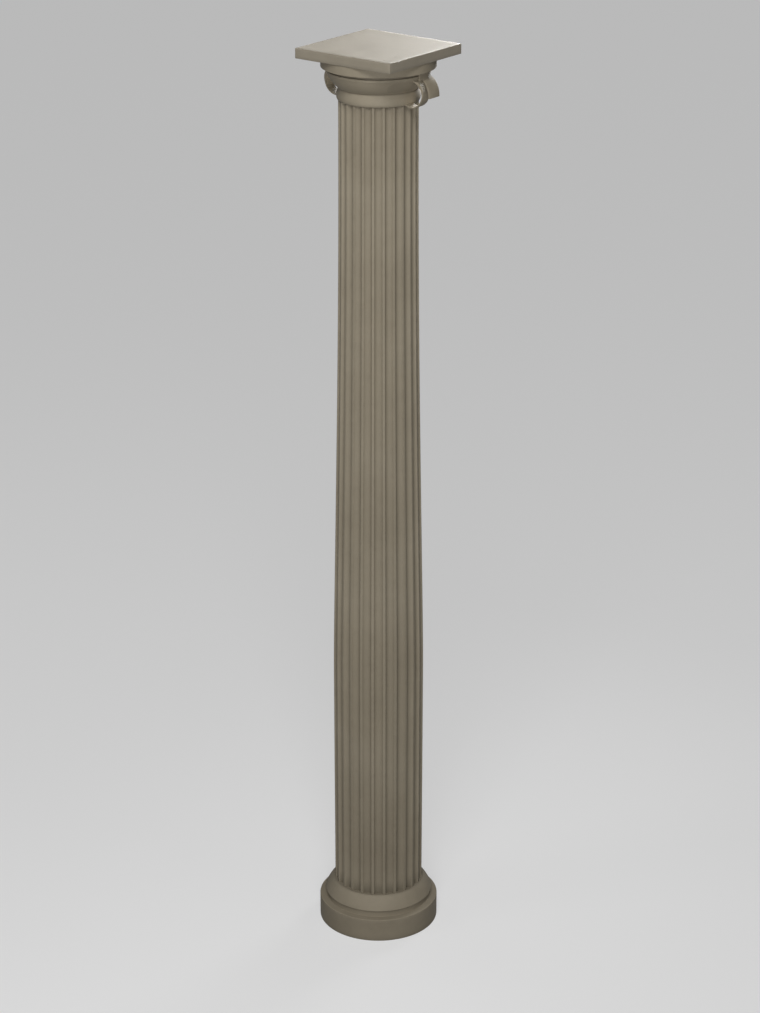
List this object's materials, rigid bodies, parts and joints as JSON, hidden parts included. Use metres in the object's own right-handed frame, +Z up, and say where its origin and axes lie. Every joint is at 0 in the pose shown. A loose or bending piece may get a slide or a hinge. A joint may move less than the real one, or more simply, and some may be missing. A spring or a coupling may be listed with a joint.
{
  "type": "ionic column",
  "caption": "Free-standing classical column: round plinth with a sloping ring moulding, tapered fluted shaft, scrolled capital and a square slab on top.",
  "frame": {"origin": "centre of the plinth's underside, on the column's axis", "axes": "+Z up along the shaft; -Y is the front, the face that shows the open scroll rings; the scrolls stand out along +X and -X"},
  "size_m": [0.4048, 0.4048, 3.048],
  "materials": {
    "stone_base": "rubbed smooth, matt",
    "stone_shaft": "rubbed smooth, matt",
    "stone_capital": "rubbed smooth, matt",
    "stone_abacus": "rubbed smooth, matt sides, a faint sheen on top"
  },
  "bodies": {
    "root": {"base": "stone_base", "shaft": "stone_shaft", "capital": "stone_capital", "abacus": "stone_abacus"}
  },
  "joints": []
}
